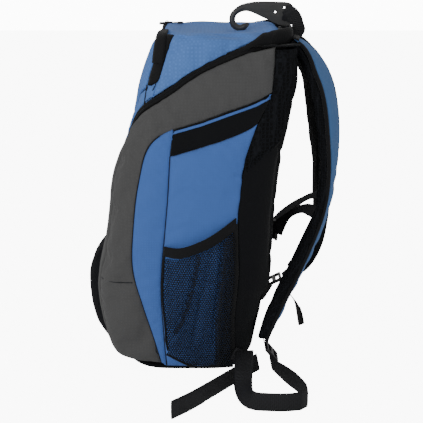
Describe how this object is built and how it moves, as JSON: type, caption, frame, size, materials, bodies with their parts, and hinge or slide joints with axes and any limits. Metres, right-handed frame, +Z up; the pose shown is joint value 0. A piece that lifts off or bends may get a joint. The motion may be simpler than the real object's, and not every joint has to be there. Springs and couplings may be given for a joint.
{
  "type": "daypack",
  "caption": "Small backpack with a zipped lid, front and side pockets, padded back and shoulder straps, sternum strap and a carry hook on its haul loop.",
  "frame": {"origin": "middle of the flat base, on the floor", "axes": "+X to the wearer's right, +Y towards the wearer (back panel and shoulder straps), +Z up; the front pocket faces -Y"},
  "size_m": [0.5926, 0.3528, 0.4958],
  "materials": {
    "blue": "woven polyester",
    "lid_blue": "woven polyester",
    "strap_blue": "woven polyester",
    "grey": "woven polyester",
    "black": "spacer mesh and coated cloth",
    "mesh": "open knitted mesh",
    "webbing": "ribbed polypropylene webbing",
    "plastic": "satin moulded",
    "black_plastic": "satin moulded",
    "sheet": "smooth sheet"
  },
  "bodies": {
    "pack_body": {"wing_panel_right": "grey", "wing_panel_left": "grey", "front_gusset_right": "blue", "front_gusset_left": "blue", "side_panel_right": "blue", "side_panel_left": "blue", "side_band_right": "black", "side_band_left": "black", "side_pocket_right": "mesh", "side_pocket_left": "mesh", "pocket_binding_right": "black", "pocket_binding_left": "black", "corner_anchor_right": "webbing", "corner_anchor_left": "webbing", "lower_webbing_right": "webbing", "lower_webbing_left": "webbing", "front_panel": "grey", "front_pocket": "black", "back_panel": "black", "frame_sheet": "sheet", "base_panel": "black", "yoke": "black", "zip_tape_body": "black", "haul_loop": "webbing"},
    "lid": {"lid_shell": "lid_blue", "zip_tape_lid": "black", "lid_pocket_zip": "black", "lid_pocket_liner": "sheet"},
    "lid_flap": {"lid_pocket_flap": "lid_blue"},
    "slider_right": {"main_slider_right": "black_plastic"},
    "slider_left": {"main_slider_left": "black_plastic"},
    "pull_right": {"main_pull_right": "webbing"},
    "pull_left": {"main_pull_left": "webbing"},
    "pocket_slider": {"lid_pocket_slider": "black_plastic"},
    "pocket_pull": {"lid_pocket_pull": "webbing"},
    "hook": {"carry_hook": "plastic"},
    "harness": {"strap_right": "black", "strap_left": "black", "strap_facing_right": "strap_blue", "strap_facing_left": "strap_blue", "ladder_lock_right": "black_plastic", "ladder_lock_left": "black_plastic", "lock_loop_right": "webbing", "lock_loop_left": "webbing", "webbing_tail_right": "webbing", "webbing_tail_left": "webbing"},
    "sternum": {"sternum_keeper_right": "black_plastic", "sternum_keeper_left": "black_plastic", "sternum_webbing_right": "webbing", "sternum_webbing_left": "webbing", "buckle_socket": "black_plastic"},
    "clip": {"buckle_clip": "black_plastic"}
  },
  "joints": [
    {"name": "lid_hinge", "type": "hinge", "parent": "pack_body", "child": "lid", "pos_m": [0, -0.1025, 0.3065], "axis": [1, 0, 0], "range_deg": [0, 60]},
    {"name": "lid_flap_hinge", "type": "hinge", "parent": "lid", "child": "lid_flap", "pos_m": [0, -0.0915, 0.344], "axis": [1, 0, 0], "range_deg": [0, 70]},
    {"name": "slider_right_slide", "type": "slide", "parent": "lid", "child": "slider_right", "axis": [1, 0, 0], "range_m": [0, 0.045]},
    {"name": "slider_left_slide", "type": "slide", "parent": "lid", "child": "slider_left", "axis": [-1, 0, 0], "range_m": [0, 0.045]},
    {"name": "pull_right_hinge", "type": "hinge", "parent": "slider_right", "child": "pull_right", "pos_m": [0.0165, 0.1136, 0.457], "axis": [0, -1, 0], "range_deg": [0, 90]},
    {"name": "pull_left_hinge", "type": "hinge", "parent": "slider_left", "child": "pull_left", "pos_m": [-0.0165, 0.1136, 0.457], "axis": [0, 1, 0], "range_deg": [0, 90]},
    {"name": "pocket_slider_slide", "type": "slide", "parent": "lid", "child": "pocket_slider", "axis": [1, 0, 0], "range_m": [0, 0.12]},
    {"name": "pocket_pull_hinge", "type": "hinge", "parent": "pocket_slider", "child": "pocket_pull", "pos_m": [-0.06, -0.0484, 0.4627], "axis": [1, 0, 0], "range_deg": [0, 90]},
    {"name": "hook_hinge", "type": "hinge", "parent": "pack_body", "child": "hook", "pos_m": [0, 0.136, 0.474], "axis": [1, 0, 0], "range_deg": [-165, 0], "deforming": ["haul_loop"]},
    {"name": "harness_hinge", "type": "hinge", "parent": "pack_body", "child": "harness", "pos_m": [0, 0.116, 0.447], "axis": [1, 0, 0], "range_deg": [0, 30], "deforming": ["lower_webbing_right", "lower_webbing_left", "webbing_tail_right", "webbing_tail_left"]},
    {"name": "sternum_slide", "type": "slide", "parent": "harness", "child": "sternum", "axis": [0, 0.1302, 0.9915], "range_m": [-0.012, 0.012]},
    {"name": "clip_slide", "type": "slide", "parent": "sternum", "child": "clip", "axis": [1, 0, 0], "range_m": [0, 0.018], "deforming": ["sternum_webbing_right"]}
  ],
  "couplings": [
    {"joint": "hook_hinge", "follows": "lid_hinge", "ratio": -2.65}
  ]
}
